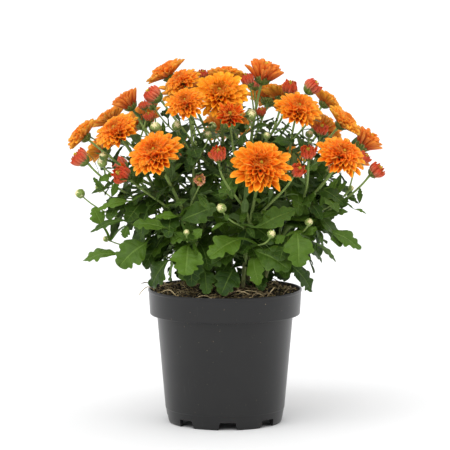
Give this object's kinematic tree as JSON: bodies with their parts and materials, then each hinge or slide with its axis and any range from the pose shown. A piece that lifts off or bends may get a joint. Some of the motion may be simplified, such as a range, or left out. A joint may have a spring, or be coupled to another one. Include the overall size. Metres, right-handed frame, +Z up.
{
  "type": "potted chrysanthemum",
  "caption": "Bushy garden chrysanthemum with double orange flower heads, buds and lobed leaves, growing from soil in a round tapered plastic nursery pot.",
  "frame": {"origin": "middle of the pot's foot, on the surface that the pot stands on", "axes": "+Z up along the pot's axis; the plant's front faces -Y, and +X is to the right of someone who looks at the front"},
  "size_m": [0.2463, 0.1996, 0.2865],
  "materials": {
    "pot": "satin dark grey moulded plastic with fine scuffs",
    "soil": "moist dark brown peat with crumbs and straw-coloured fibres",
    "stem": "finely downy light green shoot, browner at the foot",
    "leaf": "matt mid green, paler veins, greyer underside",
    "flower": "bright orange petals with lighter edges and a red-orange heart",
    "half_open": "red-orange florets, still closed in the middle",
    "bud": "pinkish bronze petal tips over green bracts"
  },
  "bodies": {
    "root": {"bud_01": "bud", "bud_02": "bud", "bud_03": "bud", "bud_04": "bud", "bud_05": "bud", "bud_06": "bud", "bud_07": "bud", "bud_08": "bud", "bud_09": "bud", "bud_10": "bud", "bud_11": "bud", "flower_01": "flower", "flower_02": "flower", "flower_03": "flower", "flower_04": "flower", "flower_05": "flower", "flower_06": "flower", "flower_07": "flower", "flower_08": "flower", "flower_09": "flower", "flower_10": "flower", "flower_11": "flower", "flower_12": "flower", "flower_13": "flower", "flower_14": "flower", "flower_15": "flower", "flower_16": "flower", "flower_17": "flower", "flower_18": "flower", "flower_19": "flower", "flower_20": "flower", "flower_21": "flower", "flower_22": "flower", "flower_23": "flower", "half_open_01": "half_open", "half_open_02": "half_open", "half_open_03": "half_open", "half_open_04": "half_open", "half_open_05": "half_open", "leaf_01": "leaf", "leaf_02": "leaf", "leaf_03": "leaf", "leaf_04": "leaf", "leaf_05": "leaf", "leaf_06": "leaf", "leaf_07": "leaf", "leaf_08": "leaf", "leaf_09": "leaf", "leaf_10": "leaf", "leaf_11": "leaf", "pot": "pot", "soil": "soil", "stem_01": "stem", "stem_02": "stem", "stem_03": "stem", "stem_04": "stem", "stem_05": "stem", "stem_06": "stem", "stem_07": "stem", "stem_08": "stem"}
  },
  "joints": []
}
